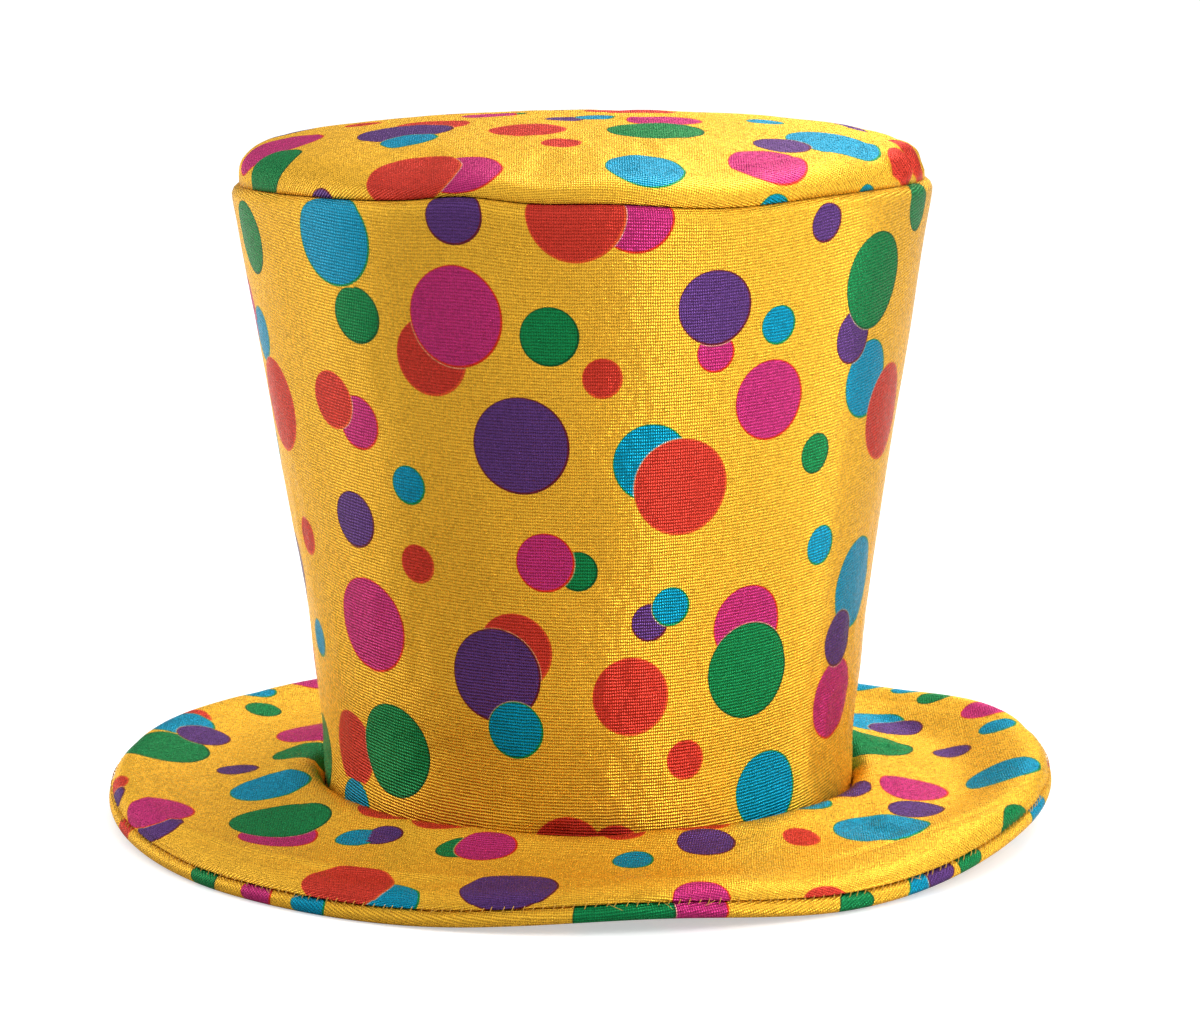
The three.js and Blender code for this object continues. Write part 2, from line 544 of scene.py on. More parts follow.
def ease(x, a, b):
    """0 to 1 with level ends as x goes from a to b: three t squared minus two t cubed."""
    t = np.clip((x - a) / (b - a), 0, 1)
    return t * t * (3 - 2 * t)


def through(x, xs, ys):
    """A smooth curve through points: a cubic between each two, where each point's slope is the mean of the
    slopes beside it, and zero where the points turn."""
    steps = np.diff(ys) / np.diff(xs)
    middle = np.where(steps[:-1] * steps[1:] > 0, (steps[:-1] + steps[1:]) / 2, 0)
    slope = np.concatenate([steps[:1], middle, steps[-1:]])
    i = np.clip(np.searchsorted(xs, x, side="right") - 1, 0, len(xs) - 2)
    gap = xs[i + 1] - xs[i]
    t = np.clip((x - xs[i]) / gap, 0, 1)
    start = ys[i] * (1 + 2 * t) * (1 - t) ** 2 + slope[i] * gap * t * (1 - t) ** 2
    end = ys[i + 1] * t * t * (3 - 2 * t) + slope[i + 1] * gap * t * t * (t - 1)
    return start + end


def around(azimuth, rows, name):
    """A table's column at each azimuth, smooth all the way round."""
    return through(azimuth, column(rows, "at"), column(rows, name))


def away(azimuth, place):
    """Degrees from a place on the round, from -180 to 180."""
    return (azimuth - place + 540) % 360 - 180


def folds(azimuth, inwards, rows):
    """The sum of short folds that start at a seam: each a bell across its azimuth, fading over its reach."""
    depth = np.zeros(np.broadcast(azimuth, inwards).shape)
    for row in rows:
        bell = np.exp(-((away(azimuth, row["at"]) / row["spread"]) ** 2))
        depth += row["deep"] * MM * bell * (1 - ease(inwards, 0, row["reach"] * MM))
    return depth


def crease(azimuth, inwards):
    """A valley along the rim with a lower roll outside it: two bells across the cloth."""
    bottom = around(azimuth, RIM_CREASE, "inwards") * MM
    deep = around(azimuth, RIM_CREASE, "deep") * MM
    valley = np.exp(-(((inwards - bottom) / VALLEY_WIDE) ** 2))
    roll = np.exp(-(((inwards - bottom + ROLL_OUT) / ROLL_WIDE) ** 2))
    return deep * (ROLL_HIGH * roll - valley)


def slow_waves(azimuth, along, phase):
    """Crossed sine waves 40 to 120 mm long, from about -1 to 1, for foam that was cut and sewn by hand."""
    a = np.radians(azimuth)
    return (
        np.sin(3 * a + 37 * along + phase)
        + np.sin(7 * a - 61 * along + 2.3 * phase)
        + np.sin(11 * a + 83 * along + 4.1 * phase)
    ) / 3


def polar(radius, azimuth, height):
    """Points at a radius and azimuth round the Z axis."""
    a = np.radians(azimuth)
    return np.stack(np.broadcast_arrays(radius * np.sin(a), -radius * np.cos(a), height), axis=-1)


def leaned(points, s):
    """The crown's lean: every level slides back and to the left with its height, and tips with the lean."""
    foot = s.brim_lower + GAP
    wall = s.seam_height - foot
    share = (points[..., 2] - foot) / wall
    x = points[..., 0] + s.aside - s.lean_left * (share - 0.5)
    y = points[..., 1] + s.lean_back * share
    z = points[..., 2] - points[..., 1] * s.lean_back / wall * np.minimum(1, share)
    return np.stack([x, y, z], axis=-1)


def lifted(points, s):
    """The brim's shape: level on its resting ring, and raised beyond it by the rim's waves."""
    radius = np.hypot(points[..., 0], points[..., 1])
    azimuth = np.degrees(np.arctan2(points[..., 0], -points[..., 1]))
    rise = s.rim_lift * around(azimuth, RIM_WAVES, "lift") * ease(radius, s.resting / 2, BRIM_RADIUS)
    foot = s.opening / 2 + s.wall_foam + GAP
    slide = (s.aside + s.lean_left / 2) * (1 - ease(radius, foot, s.resting / 2))
    return points + np.stack([slide, np.zeros_like(rise), rise], axis=-1)


def arc(middle, radius, start, end):
    """Points of an arc in a section, angles in degrees from outwards towards up."""
    a = np.radians(np.linspace(start, end, 13))
    return np.stack([middle[0] + radius * np.cos(a), middle[1] + radius * np.sin(a)], -1)


def evenly(section, cell):
    """A section's outline divided into even steps of about one cell. Returns radius, height, length."""
    section = np.asarray(section, float)
    length = np.concatenate([[0], np.cumsum(np.hypot(*np.diff(section, axis=0).T))])
    along = np.linspace(0, length[-1], max(2, round(length[-1] / cell) + 1))
    return np.stack([np.interp(along, length, section[:, i]) for i in (0, 1)] + [along])


def round_columns(radius, cell):
    """Azimuths of a grid's columns, from the back round by the front to the back again."""
    return np.linspace(-180, 180, 4 * round(math.pi * radius / cell / 2) + 1)


def disc_places(azimuth, along):
    """Places on flat cloth that was cut as a disc or ring, along being the length from its middle."""
    a = np.radians(azimuth)
    return np.stack(np.broadcast_arrays(along * np.sin(a), -along * np.cos(a)), -1)


def ring_places(azimuth, along, s):
    """Places on the side's flat cloth, cut as part of a ring with its inner arc at the foot."""
    foot, top = s.opening / 2 + s.wall_foam, s.crown_top / 2
    narrowing = (top - foot) / (s.seam_height - s.brim_lower - GAP)
    apex = foot / narrowing
    a = np.radians(azimuth) * narrowing
    return np.stack(np.broadcast_arrays((apex + along) * np.sin(a), (apex + along) * np.cos(a) - apex), -1)


def printed(faces, corners, face_of_corner, dots):
    """For each printed layer and each corner: how far it is outside the nearest dot in mm, how far
    outside the part of that dot that the yellow plate leaves clear, and the dot's ink. A face keeps to
    one dot."""
    values = {}
    for layer in LAYERS:
        rows = [dot for dot in dots if dot["layer"] == layer]
        vectors = np.full((len(corners), 3), (50.0, 50.0, 0.0))
        if rows:
            places = np.array([dot["place"] for dot in rows])
            radii = np.array([dot["across"] for dot in rows]) * MM / 2
            inks = np.array([INKS.index(dot["ink"]) for dot in rows])
            off = np.hypot(*(faces[:, None] - places).transpose(2, 0, 1)) - radii
            nearest = off.argmin(1)[face_of_corner]
            vectors[:, 0] = np.hypot(*(corners - places[nearest]).T) - radii[nearest]
            vectors[:, 1] = np.hypot(*(corners - places[nearest] - PLATE_SHIFT).T) - radii[nearest]
            vectors[:, :2] /= MM
            vectors[:, 2] = inks[nearest]
        values["dots_" + layer] = vectors
    return values


def grid_piece(name, points, cloth, materials, row_materials, dots, wraps):
    """A closed mesh from a grid of points. Rows run along the section and columns round the hat, the last
    column repeating the first. A section that wraps repeats its first row at its end. Any other starts and
    ends on the axis. cloth holds the places on the flat cloth, row_materials the material of each row."""
    rows, ring = len(points), points.shape[1] - 1
    index = np.zeros((rows, ring), int)
    if wraps:
        index[:-1] = np.arange((rows - 1) * ring).reshape(-1, ring)
        index[-1] = index[0]
        vertices = points[:-1, :-1].reshape(-1, 3)
    else:
        index[1:-1] = 1 + np.arange((rows - 2) * ring).reshape(-1, ring)
        index[-1] = 1 + (rows - 2) * ring
        vertices = np.vstack([points[0, :1], points[1:-1, :-1].reshape(-1, 3), points[-1, :1]])
    index = np.hstack([index, index[:, :1]])
    r, c = (side.ravel()[:, None] for side in np.mgrid[: rows - 1, :ring])
    r, c = r + [0, 0, 1, 1], c + [0, 1, 1, 0]
    corners = index[r, c]
    keep = corners != np.roll(corners, 1, axis=1)
    sizes = keep.sum(1)
    flat = cloth[r, c]

    mesh = bpy.data.meshes.new(name)
    mesh.vertices.add(len(vertices))
    mesh.vertices.foreach_set("co", vertices.ravel())
    mesh.loops.add(int(sizes.sum()))
    mesh.loops.foreach_set("vertex_index", corners[keep].astype(np.int32))
    mesh.polygons.add(len(sizes))
    mesh.polygons.foreach_set("loop_start", (np.cumsum(sizes) - sizes).astype(np.int32))
    mesh.polygons.foreach_set("material_index", np.repeat(row_materials, ring).astype(np.int32))
    mesh.polygons.foreach_set("use_smooth", np.ones(len(sizes), bool))
    mesh.update(calc_edges=True)
    for material in materials:
        mesh.materials.append(material)
    mesh.uv_layers.new(name="cloth").uv.foreach_set("vector", flat[keep].ravel())
    layers = printed(flat.mean(1), flat[keep], np.repeat(np.arange(len(sizes)), sizes), dots)
    for layer, vectors in layers.items():
        attribute = mesh.attributes.new(layer, "FLOAT_VECTOR", "CORNER")
        attribute.data.foreach_set("vector", vectors.ravel())
    if mesh.validate():
        raise RuntimeError(f"{name}: the mesh has faults")
    piece = bpy.data.objects.new(name, mesh)
    bpy.context.scene.collection.objects.link(piece)
    return piece


def stacked(runs):
    """Runs of a section joined end to end, without the point that each shares with the one before."""
    return np.concatenate([runs[0]] + [run[:, 1:] for run in runs[1:]], axis=1)


def normals_of(points):
    """Unit normals of a grid, from the cross product of its two directions."""
    across = np.gradient(points, axis=1)
    across[:, 0] = across[:, -1] = (points[:, 1] - points[:, -2]) / 2
    normal = np.cross(across, np.gradient(points, axis=0))
    return normal / np.maximum(np.linalg.norm(normal, axis=-1, keepdims=True), 1e-12)


# Cloth that settles over its foam

SETTLE_STEP = 4 * MM  # between the rows of the simulated sheet
SLACK = 0.01  # share by which the cloth was cut too large
PRESSURE = 3.0  # the simulation's own unit
SETTLE_FRAMES = 20
SETTLE_SKIP = 4  # the sheet has every fourth column of the fine grid
POLE_REACH = 30 * MM  # the tip's sheet has no rows this near its middle
SIDE_SWELL = 0.5 * MM  # the most that the cloth moves, here and below
TIP_SWELL = 1 * MM
BRIM_SWELL = 1.1 * MM


def between_lines(values, lines, places):
    """Values on a grid's lines, carried over to places between them by a cubic through the four nearest."""
    last = len(lines) - 1
    i = np.clip(np.searchsorted(lines, places, side="right") - 1, 0, last - 1)
    t = ((places - lines[i]) / (lines[i + 1] - lines[i])).reshape((-1,) + (1,) * (values.ndim - 1))
    before, here, after = values[np.maximum(i - 1, 0)], values[i], values[i + 1]
    beyond = values[np.minimum(i + 2, last)]
    bend = 2 * before - 5 * here + 4 * after - beyond
    twist = 3 * here - before - 3 * after + beyond
    return here + 0.5 * t * (after - before + t * (bend + t * twist))


def settled(points, length, cap, pole=False):
    """How far a sheet's points move when its cloth, cut slightly too large and held along its edge rows,
    is pressed out by the foam. It is simulated on a coarser sheet, each row's mean swelling is taken out
    again, each move is capped, and the moves are spread over the fine grid. With a pole the last row is
    one point."""
    steps = np.searchsorted(length, np.arange(0, length[-1], SETTLE_STEP))
    rows = np.unique(np.append(steps, len(length) - 1))
    if pole:
        rows = np.append(rows[length[rows] < length[-1] - POLE_REACH], rows[-1])
    columns = np.arange(0, points.shape[1], SETTLE_SKIP)
    start = points[np.ix_(rows, columns)]
    body = start[:-1, :-1] if pole else start[:, :-1]
    index = np.arange(body.size // 3).reshape(body.shape[:2])
    index = np.hstack([index, index[:, :1]])
    faces = np.stack([index[:-1, :-1], index[:-1, 1:], index[1:, 1:], index[1:, :-1]], -1)
    faces = faces.reshape(-1, 4).tolist()
    vertices = body.reshape(-1, 3)
    if pole:
        tip = np.full(body.shape[1], len(vertices))
        faces += np.stack([index[-1, :-1], index[-1, 1:], tip], -1).tolist()
        vertices = np.vstack([vertices, start[-1, :1]])
    mesh = bpy.data.meshes.new("sheet")
    mesh.from_pydata(vertices, [], faces)
    sheet = bpy.data.objects.new("sheet", mesh)
    scene = bpy.context.scene
    scene.collection.objects.link(sheet)
    held = sheet.vertex_groups.new(name="held")
    held.add(index[0, :-1].tolist(), 1.0, "REPLACE")
    if not pole:
        held.add(index[-1, :-1].tolist(), 1.0, "REPLACE")
    cloth = sheet.modifiers.new("cloth", "CLOTH")
    cloth.settings.vertex_group_mass = "held"
    cloth.settings.use_pressure = True
    cloth.settings.uniform_pressure_force = PRESSURE
    cloth.settings.shrink_min = -SLACK
    cloth.settings.mass = 0.02
    cloth.settings.bending_stiffness = 2.0
    cloth.settings.effector_weights.gravity = 0
    cloth.collision_settings.use_collision = False
    cloth.point_cache.frame_end = SETTLE_FRAMES
    for frame_number in range(1, SETTLE_FRAMES + 1):
        scene.frame_set(frame_number)
    moved = np.empty(len(vertices) * 3)
    sheet.evaluated_get(bpy.context.evaluated_depsgraph_get()).data.vertices.foreach_get("co", moved)
    scene.frame_set(1)
    bpy.data.objects.remove(sheet)
    bpy.data.meshes.remove(mesh)

    moves = np.zeros_like(start)
    all_moves = moved.reshape(-1, 3) - vertices
    moves[: len(body), :-1] = all_moves[: index[:, :-1].size].reshape(body.shape)
    if pole:
        moves[-1] = all_moves[-1]
    moves[:, -1] = moves[:, 0]
    normals = normals_of(start)
    swelling = (moves * normals).sum(-1, keepdims=True)[:, :-1].mean(1, keepdims=True)
    moves -= swelling * normals
    far = np.linalg.norm(moves, axis=-1, keepdims=True)
    moves *= np.minimum(1, cap / np.maximum(far, 1e-9))
    if pole:
        moves[-1] = moves[-2, :-1].mean(0)
    wide = between_lines(moves.swapaxes(0, 1), columns, np.arange(points.shape[1])).swapaxes(0, 1)
    return between_lines(wide, length[rows], length)


# Materials

PLATE_OVERLAP = 0.6  # mm, how far the yellow runs in under a dot's edge
PLATE_SHIFT = np.array([-0.2, 0.2]) * MM  # how far the yellow plate is out of line
LIGHT_LINE = 0.35  # mm, the bare line round a dot that is printed over another
EDGE_SOFTNESS = 0.25  # mm, over which a printed edge turns
BARE_LINE = "#F3D9A0"
PALE_GLOSS = "#FFF3C8"  # what the gloss leans to from the ink's own colour
HOLE_SHADE = (0.3, 0.16, 0.1)  # painted shade in the holes and grooves: what it leaves of red, green and blue
OVER_YELLOW = ("#D8331F", "#E2562A", "#6A2030", "#0A5A30", "#0B8A4A")  # each ink where yellow is under it


def hex_colour(code):
    """An sRGB hex value as linear red, green, blue and alpha."""
    parts = [int(code[i : i + 2], 16) / 255 for i in (1, 3, 5)]
    return [c / 12.92 if c <= 0.04045 else ((c + 0.055) / 1.055) ** 2.4 for c in parts] + [1.0]


def wire(tree, kind, inputs=(), out=0, stops=(), **settings):
    """Adds a node with its settings, gives its inputs values or links, and returns one of its outputs. The
    stops are hex values for a colour ramp, with one flat stretch for each."""
    node = tree.nodes.new(kind)
    for key, value in settings.items():
        setattr(node, key, value)
    for key, value in dict(inputs).items():
        if isinstance(value, bpy.types.NodeSocket):
            tree.links.new(value, node.inputs[key])
        else:
            node.inputs[key].default_value = value
    if stops:
        ramp = node.color_ramp
        ramp.interpolation = "CONSTANT"
        for _ in stops[2:]:
            ramp.elements.new(0.5)
        for i, code in enumerate(stops):
            ramp.elements[i].position = i / len(stops)
            ramp.elements[i].color = hex_colour(code)
    return node.outputs[out] if node.outputs else None


def fresh_material(name):
    material = bpy.data.materials.new(name)
    material.use_nodes = True
    material.node_tree.nodes.clear()
    return material


def dotted_ground(tree, inks):
    """The printed colours: yellow, then each layer of dots. Where the yellow plate runs in under a dot's
    edge the ink turns, and where a dot lies over another a thin light line is left bare between them."""
    colours = [getattr(inks, ink) for ink in INKS]
    ground = hex_colour(inks.yellow)
    bare = hex_colour(BARE_LINE)
    printed_on = 0.0
    turn = 1 / EDGE_SOFTNESS
    for layer in LAYERS:
        vector = wire(tree, "ShaderNodeAttribute", out=1, attribute_name="dots_" + layer)
        edge = wire(tree, "ShaderNodeSeparateXYZ", {0: vector})
        clear, ink = edge.node.outputs[1], edge.node.outputs[2]
        within = wire(
            tree, "ShaderNodeMath", {0: edge, 1: -turn, 2: 0.5}, operation="MULTIPLY_ADD", use_clamp=True)
        near = wire(
            tree, "ShaderNodeMath", {0: edge, 1: -turn, 2: 0.5 + LIGHT_LINE * turn},
            operation="MULTIPLY_ADD", use_clamp=True)
        plate = wire(
            tree, "ShaderNodeMath", {0: clear, 1: -turn, 2: 0.5 - PLATE_OVERLAP * turn},
            operation="MULTIPLY_ADD", use_clamp=True)
        place = wire(
            tree, "ShaderNodeMath", {0: ink, 1: 1 / len(INKS), 2: 0.5 / len(INKS)}, operation="MULTIPLY_ADD")
        pure = wire(tree, "ShaderNodeValToRGB", {0: place}, stops=colours)
        over = wire(tree, "ShaderNodeValToRGB", {0: place}, stops=OVER_YELLOW)
        dot = wire(tree, "ShaderNodeMix", {0: plate, 6: over, 7: pure}, out=2, data_type="RGBA")
        line = wire(tree, "ShaderNodeMath", {0: near, 1: printed_on}, operation="MULTIPLY")
        line = wire(tree, "ShaderNodeMath", {0: line, 1: 0.4}, operation="MULTIPLY")
        ground = wire(tree, "ShaderNodeMix", {0: line, 6: ground, 7: bare}, out=2, data_type="RGBA")
        ground = wire(tree, "ShaderNodeMix", {0: within, 6: ground, 7: dot}, out=2, data_type="RGBA")
        printed_on = wire(tree, "ShaderNodeMath", {0: within, 1: printed_on}, operation="MAXIMUM")
    return ground


def satin_tricot():
    """Polyester satin tricot, printed and laminated to foam. Its floats lie across the cloth, so its gloss
    is narrow across and long up and down. Each stitch turns its own way, so the rows glitter, and painted
    brown shade darkens the small holes between the stitches and the grooves between the rows."""
    knit, inks = bpy.context.scene.hat_knit, bpy.context.scene.hat_inks
    material = fresh_material("printed_satin_tricot")
    tree = material.node_tree
    cloth = wire(tree, "ShaderNodeUVMap", uv_map="cloth")

    # The knit's rows and ribs, a little bent, and the holes where both are low
    bent = wire(tree, "ShaderNodeTexNoise", {"Vector": cloth, "Scale": 220.0, "Detail": 1.0})
    x = wire(tree, "ShaderNodeSeparateXYZ", {0: cloth})
    y = x.node.outputs[1]
    y = wire(tree, "ShaderNodeMath", {0: bent, 1: 0.5 * knit.row, 2: y}, operation="MULTIPLY_ADD")
    x = wire(tree, "ShaderNodeMath", {0: bent, 1: 0.9 * knit.rib, 2: x}, operation="MULTIPLY_ADD")
    row_place = wire(tree, "ShaderNodeMath", {0: y, 1: 1 / knit.row}, operation="MULTIPLY")
    rib_place = wire(tree, "ShaderNodeMath", {0: x, 1: 1 / knit.rib}, operation="MULTIPLY")
    row_turn = wire(tree, "ShaderNodeMath", {0: row_place, 1: math.tau}, operation="MULTIPLY")
    rib_turn = wire(tree, "ShaderNodeMath", {0: rib_place, 1: math.tau}, operation="MULTIPLY")
    row_wave = wire(tree, "ShaderNodeMath", {0: row_turn}, operation="SINE")
    rib_wave = wire(tree, "ShaderNodeMath", {0: rib_turn}, operation="SINE")
    rows = wire(tree, "ShaderNodeMath", {0: row_wave, 1: 0.5, 2: 0.5}, operation="MULTIPLY_ADD")
    ribs = wire(tree, "ShaderNodeMath", {0: rib_wave, 1: 0.5, 2: 0.5}, operation="MULTIPLY_ADD")
    between = wire(tree, "ShaderNodeMath", {0: rows, 1: ribs}, operation="MAXIMUM")
    hole = wire(tree, "ShaderNodeMapRange", {0: between, 1: 0.15, 2: 0.5, 3: 1.0, 4: 0.0})
    groove = wire(tree, "ShaderNodeMapRange", {0: rows, 1: 0.0, 2: 0.5, 3: 1.0, 4: 0.0})
    stitch = wire(tree, "ShaderNodeMath", {0: ribs, 1: 0.4, 2: rows}, operation="MULTIPLY_ADD")

    # A chance for each stitch, and streaks along the yarn
    places = wire(tree, "ShaderNodeCombineXYZ", {0: rib_place, 1: row_place})
    one = wire(tree, "ShaderNodeVectorMath", {0: places}, operation="FLOOR")
    chance = wire(tree, "ShaderNodeTexWhiteNoise", {0: one}, noise_dimensions="2D")
    stretched = wire(tree, "ShaderNodeVectorMath", {0: cloth, 1: (300.0, 900.0, 1.0)}, operation="MULTIPLY")
    yarn = wire(tree, "ShaderNodeTexNoise", {"Vector": stretched, "Scale": 1.0, "Detail": 2.0})
    shade = wire(tree, "ShaderNodeMapRange", {0: yarn, 1: 0.3, 2: 0.7, 3: 0.92, 4: 1.07})
    glint = wire(tree, "ShaderNodeMapRange", {0: chance, 1: 0.0, 2: 1.0, 3: 0.93, 4: 1.07})
    tone = wire(tree, "ShaderNodeMath", {0: shade, 1: glint}, operation="MULTIPLY")

    # The print, with painted shade that darkens it in the holes and in the grooves between rows
    ink = dotted_ground(tree, inks)
    colour = wire(tree, "ShaderNodeVectorMath", {0: ink, 3: tone}, operation="SCALE")
    depth = wire(tree, "ShaderNodeMath", {0: groove, 1: 0.22}, operation="MULTIPLY")
    depth = wire(
        tree, "ShaderNodeMath", {0: hole, 1: 0.45, 2: depth}, operation="MULTIPLY_ADD", use_clamp=True)
    shadow = wire(tree, "ShaderNodeVectorMath", {0: colour, 1: HOLE_SHADE}, operation="MULTIPLY")
    colour = wire(tree, "ShaderNodeMix", {0: depth, 6: colour, 7: shadow}, out=2, data_type="RGBA")

    # Relief and gloss, which differ from stitch to stitch
    relief = wire(tree, "ShaderNodeMath", {0: yarn, 1: 0.5, 2: stitch}, operation="MULTIPLY_ADD")
    relief = wire(tree, "ShaderNodeMath", {0: chance, 1: 0.22, 2: relief}, operation="MULTIPLY_ADD")
    bump = wire(tree, "ShaderNodeBump", {"Height": relief, "Distance": knit.relief, "Strength": 1.0})
    gloss = wire(tree, "ShaderNodeMapRange", {0: chance, 1: 0.0, 2: 1.0, 3: 0.2, 4: 0.36})
    pale = hex_colour(PALE_GLOSS)
    tint = wire(tree, "ShaderNodeMix", {0: 0.4, 6: colour, 7: pale}, out=2, data_type="RGBA")
    along = wire(tree, "ShaderNodeTangent", direction_type="UV_MAP", uv_map="cloth")
    shader = wire(tree, "ShaderNodeBsdfPrincipled", {
        "Base Color": colour,
        "Metallic": 0.55,
        "Roughness": gloss,
        "Specular IOR Level": 0.3,
        "Specular Tint": tint,
        "Anisotropic": 0.8,
        "Anisotropic Rotation": 0.25,
        "Tangent": along,
        "Normal": bump,
    })
    wire(tree, "ShaderNodeOutputMaterial", {"Surface": shader})
    return material


def bare_foam():
    """Open-cell polyurethane foam, the laminated cloth's back. Its cells make it matt and finely pitted."""
    material = fresh_material("open_cell_foam")
    tree = material.node_tree
    place = wire(tree, "ShaderNodeTexCoord", out=3)
    cells = wire(tree, "ShaderNodeTexVoronoi", {"Vector": place, "Scale": 900.0})
    cloud = wire(tree, "ShaderNodeTexNoise", {"Vector": place, "Scale": 40.0, "Detail": 3.0})
    tone = wire(tree, "ShaderNodeMapRange", {0: cloud, 1: 0.3, 2: 0.7, 3: 0.86, 4: 1.04})
    ground = hex_colour(bpy.context.scene.hat_inks.foam)
    colour = wire(tree, "ShaderNodeVectorMath", {0: ground[:3], 3: tone}, operation="SCALE")
    bump = wire(tree, "ShaderNodeBump", {"Height": cells, "Distance": 0.0004, "Strength": 1.0})
    shader = wire(tree, "ShaderNodeBsdfPrincipled", {
        "Base Color": colour,
        "Roughness": 0.95,
        "Specular IOR Level": 0.2,
        "Normal": bump,
    })
    wire(tree, "ShaderNodeOutputMaterial", {"Surface": shader})
    return material


def spun_thread():
    """Polyester sewing thread, spun from two plies, so it is a little hairy and only softly glossy."""
    material = fresh_material("spun_polyester_thread")
    tree = material.node_tree
    place = wire(tree, "ShaderNodeTexCoord", out=3)
    fibres = wire(tree, "ShaderNodeTexNoise", {"Vector": place, "Scale": 2500.0, "Detail": 1.0})
    tone = wire(tree, "ShaderNodeMapRange", {0: fibres, 1: 0.3, 2: 0.7, 3: 0.7, 4: 1.1})
    ground = hex_colour(bpy.context.scene.hat_inks.thread)
    colour = wire(tree, "ShaderNodeVectorMath", {0: ground[:3], 3: tone}, operation="SCALE")
    shader = wire(tree, "ShaderNodeBsdfPrincipled", {"Base Color": colour, "Roughness": 0.6})
    wire(tree, "ShaderNodeOutputMaterial", {"Surface": shader})
    return material


def studio_white():
    """Matt white studio paper, lit until it burns out to white: the camera sees it brighter than it lights
    the hat."""
    material = fresh_material("white_paper")
    tree = material.node_tree
    place = wire(tree, "ShaderNodeTexCoord", out=3)
    pulp = wire(tree, "ShaderNodeTexNoise", {"Vector": place, "Scale": 3.0, "Detail": 2.0})
    tone = wire(tree, "ShaderNodeMapRange", {0: pulp, 1: 0.3, 2: 0.7, 3: 0.62, 4: 0.64})
    seen = wire(tree, "ShaderNodeLightPath")
    burnt = wire(tree, "ShaderNodeMath", {0: seen, 1: BURNT_OUT}, operation="MULTIPLY")
    shader = wire(tree, "ShaderNodeBsdfPrincipled", {
        "Base Color": tone,
        "Roughness": 0.9,
        "Emission Color": (1.0, 1.0, 1.0, 1.0),
        "Emission Strength": burnt,
    })
    wire(tree, "ShaderNodeOutputMaterial", {"Surface": shader})
    return material


MAKERS = {
    "printed_satin_tricot": satin_tricot,
    "open_cell_foam": bare_foam,
    "spun_polyester_thread": spun_thread,
}


def shared(*names):
    """Materials made once and found again by name."""
    return [bpy.data.materials.get(name) or MAKERS[name]() for name in names]


def placed(dots, place):
    return [dict(dot, place=np.asarray(place(dot), float).ravel()) for dot in dots]


# Panels

FOAM_CELL = 3  # the unseen faces' cells are this many times larger


def dome_height(azimuth, share, rise, s):
    """The dome's height at a share of its radius: rise times (1 - share squared) to a power. The power is
    its squareness at the sides, its roundness at front and back, and goes between with the sine squared."""
    power = s.roundness + (s.squareness - s.roundness) * np.sin(np.radians(azimuth)) ** 2
    return rise * (1 - share**2) ** power


def tip_panel(s):
    """The tip: a dome turned round the axis with an inside dome a foam's thickness below it, and its
    padded edge bulged over the seam and tucked where it was eased in."""
    radius = s.crown_top / 2 - s.tip_setback
    edge = s.seam_height + GAP
    rises = (s.tip_rise - GAP - s.tip_foam, s.tip_rise - GAP)
    share = np.sin(np.linspace(0, math.pi / 2, 400))
    under = np.stack([(radius - s.tip_foam) * share, dome_height(45, share, rises[0], s)], -1)
    over = np.stack([radius * share, dome_height(45, share, rises[1], s)], -1)[::-1]
    runs = [
        evenly(under, s.cell * FOAM_CELL),
        evenly([under[-1], over[0]], s.cell),
        evenly(over[over[:, 1] < TIP_EDGE_HIGH], s.cell * 0.6),
        evenly(over[over[:, 1] >= TIP_EDGE_HIGH - 0.1 * MM], s.cell),
    ]
    seam_row = runs[0].shape[1] + runs[1].shape[1] - 2
    r, level, along = stacked(runs)
    azimuth = round_columns(radius, s.cell)[None, :]
    outside = (np.arange(len(r)) >= seam_row)[:, None]
    length = np.concatenate([[0], np.cumsum(np.hypot(np.diff(r), np.diff(level)))])
    inwards = np.clip(length - length[seam_row], 0, None)[:, None]
    reach = inwards[-1, 0]
    r = r[:, None]

    inside = dome_height(azimuth, np.clip(r / (radius - s.tip_foam), 0, 1), rises[0], s)
    height = np.where(outside, dome_height(azimuth, np.clip(r / radius, 0, 1), rises[1], s), inside)
    up = height / rises[1]
    edgewards = (1 - up) * ease(r, radius * TIP_EDGE_FROM, radius)
    wander = s.seam_wander * around(azimuth, SEAM_WAVES, "lift") * edgewards
    points = polar(r, azimuth, edge + height + wander)
    puff = around(azimuth, TIP_BULGE, "out") * MM * np.sin(math.pi * np.clip(inwards / BULGE_WIDE, 0, 1))
    tuck = folds(azimuth, inwards, TIP_TUCKS) * ease(inwards, 0, SEAM_FREE)
    sway = s.uneven * slow_waves(azimuth, inwards, 1.1) * ease(inwards, 0, 0.02) * ease(r, 0, 0.03)
    push = np.where(outside, puff - tuck + sway, 0)
    points = leaned(points + normals_of(points) * push[..., None], s)
    points[seam_row:] += settled(points[seam_row:], inwards[seam_row:, 0], TIP_SWELL, pole=True)

    cloth = disc_places(azimuth, np.where(outside, reach - inwards, r))
    dots = placed(TIP_DOTS, lambda dot: (dot["right"] * MM, dot["back"] * MM))
    bare = np.arange(len(r) - 1) < seam_row
    materials = shared("printed_satin_tricot", "open_cell_foam")
    return grid_piece("tip_panel", points, cloth, materials, bare, dots, wraps=False)


def wall_outline(s):
    """Radius and height up the side, from the table of its sections."""
    foot, top = s.opening / 2 + s.wall_foam, s.crown_top / 2
    base = s.brim_lower + GAP
    up = np.linspace(0, WALL_SECTIONS[-1]["up"], 300)
    out = through(up, column(WALL_SECTIONS, "up"), column(WALL_SECTIONS, "out"))
    return np.stack([foot + (top - foot) * out, base + (s.seam_height - base) * up], -1)


